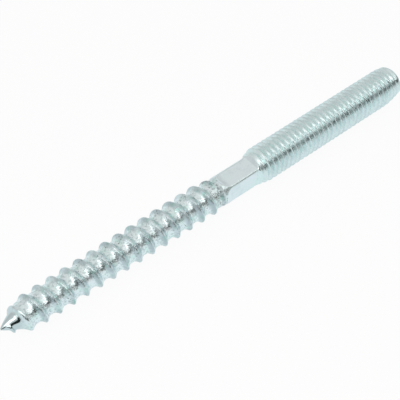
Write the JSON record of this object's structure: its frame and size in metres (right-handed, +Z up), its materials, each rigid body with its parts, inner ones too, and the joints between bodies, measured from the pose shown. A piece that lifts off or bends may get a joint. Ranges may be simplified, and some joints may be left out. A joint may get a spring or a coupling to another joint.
{
  "type": "hanger bolt",
  "caption": "Zinc-plated M8 hanger bolt: a machine stud, a pressed square neck and a gimlet-pointed wood screw.",
  "frame": {"origin": "on the bolt's axis, where the shoulder meets the machine stud", "axes": "+X along the bolt's axis towards the stud's end, with the wood screw's point towards -X; +Z up, square to one of the four pressed flats; the bolt lies on its side"},
  "size_m": [0.1, 0.0078, 0.0078],
  "materials": {
    "zinc_plated_steel": "bright zinc plating with a pale blue passivation, a little uneven over the rolled surface"
  },
  "bodies": {
    "root": {"hanger_bolt": "zinc_plated_steel"}
  },
  "joints": []
}
